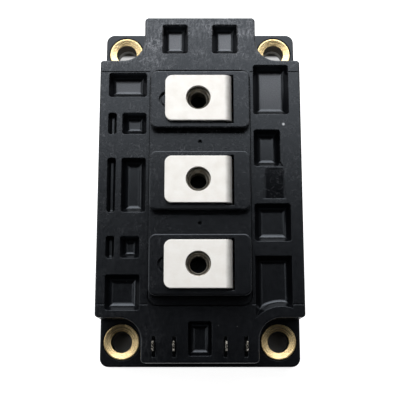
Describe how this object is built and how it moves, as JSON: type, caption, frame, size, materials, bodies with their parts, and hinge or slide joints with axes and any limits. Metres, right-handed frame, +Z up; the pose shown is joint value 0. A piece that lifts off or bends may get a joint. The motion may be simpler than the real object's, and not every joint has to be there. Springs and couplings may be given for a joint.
{
  "type": "igbt module",
  "caption": "Flat black power semiconductor module with screw terminals on raised islands, upright control blades and collared corner holes.",
  "frame": {"origin": "underside of the base plate, midway across the part's length and width", "axes": "+Z up out of the base plate, Y along the row of terminals with the control tabs at -Y, X across"},
  "size_m": [0.062, 0.108, 0.0292],
  "materials": {
    "black_moulding": "fine-textured black moulded plastic",
    "nickel_plate": "nickel-plated copper, satin",
    "yellow_metal": "yellow passivated metal, satin",
    "tinned_copper": "matt tin plate on copper",
    "plated_steel": "zinc plate",
    "tinned_brass": "bright tin plate",
    "sealant": "grey silicone adhesive",
    "solder": "solder, dull",
    "bare_copper": "bare copper",
    "white_ceramic": "unglazed white alumina",
    "silicon": "metallised silicon",
    "bond_aluminium": "drawn wire, bright",
    "gel": "clear soft gel"
  },
  "bodies": {
    "root": {"base_plate": "nickel_plate", "housing": "black_moulding", "lid": "black_moulding", "mounting_collar_1": "yellow_metal", "mounting_collar_2": "yellow_metal", "mounting_collar_3": "yellow_metal", "mounting_collar_4": "yellow_metal", "main_terminal_1": "tinned_copper", "main_terminal_2": "tinned_copper", "main_terminal_3": "tinned_copper", "terminal_nut_1": "plated_steel", "terminal_nut_2": "plated_steel", "terminal_nut_3": "plated_steel", "control_tab_1": "tinned_brass", "control_tab_2": "tinned_brass", "control_tab_3": "tinned_brass", "control_tab_4": "tinned_brass", "adhesive_bead": "sealant", "lid_adhesive": "sealant", "substrate_solder_1": "solder", "substrate_solder_2": "solder", "substrate_copper_1": "bare_copper", "substrate_copper_2": "bare_copper", "substrate_ceramic_1": "white_ceramic", "substrate_ceramic_2": "white_ceramic", "substrate_tracks_1": "bare_copper", "substrate_tracks_2": "bare_copper", "chip_solder": "solder", "igbt_chips": "silicon", "diode_chips": "silicon", "power_bond_wires": "bond_aluminium", "gate_bond_wires": "bond_aluminium", "silicone_gel": "gel"}
  },
  "joints": []
}
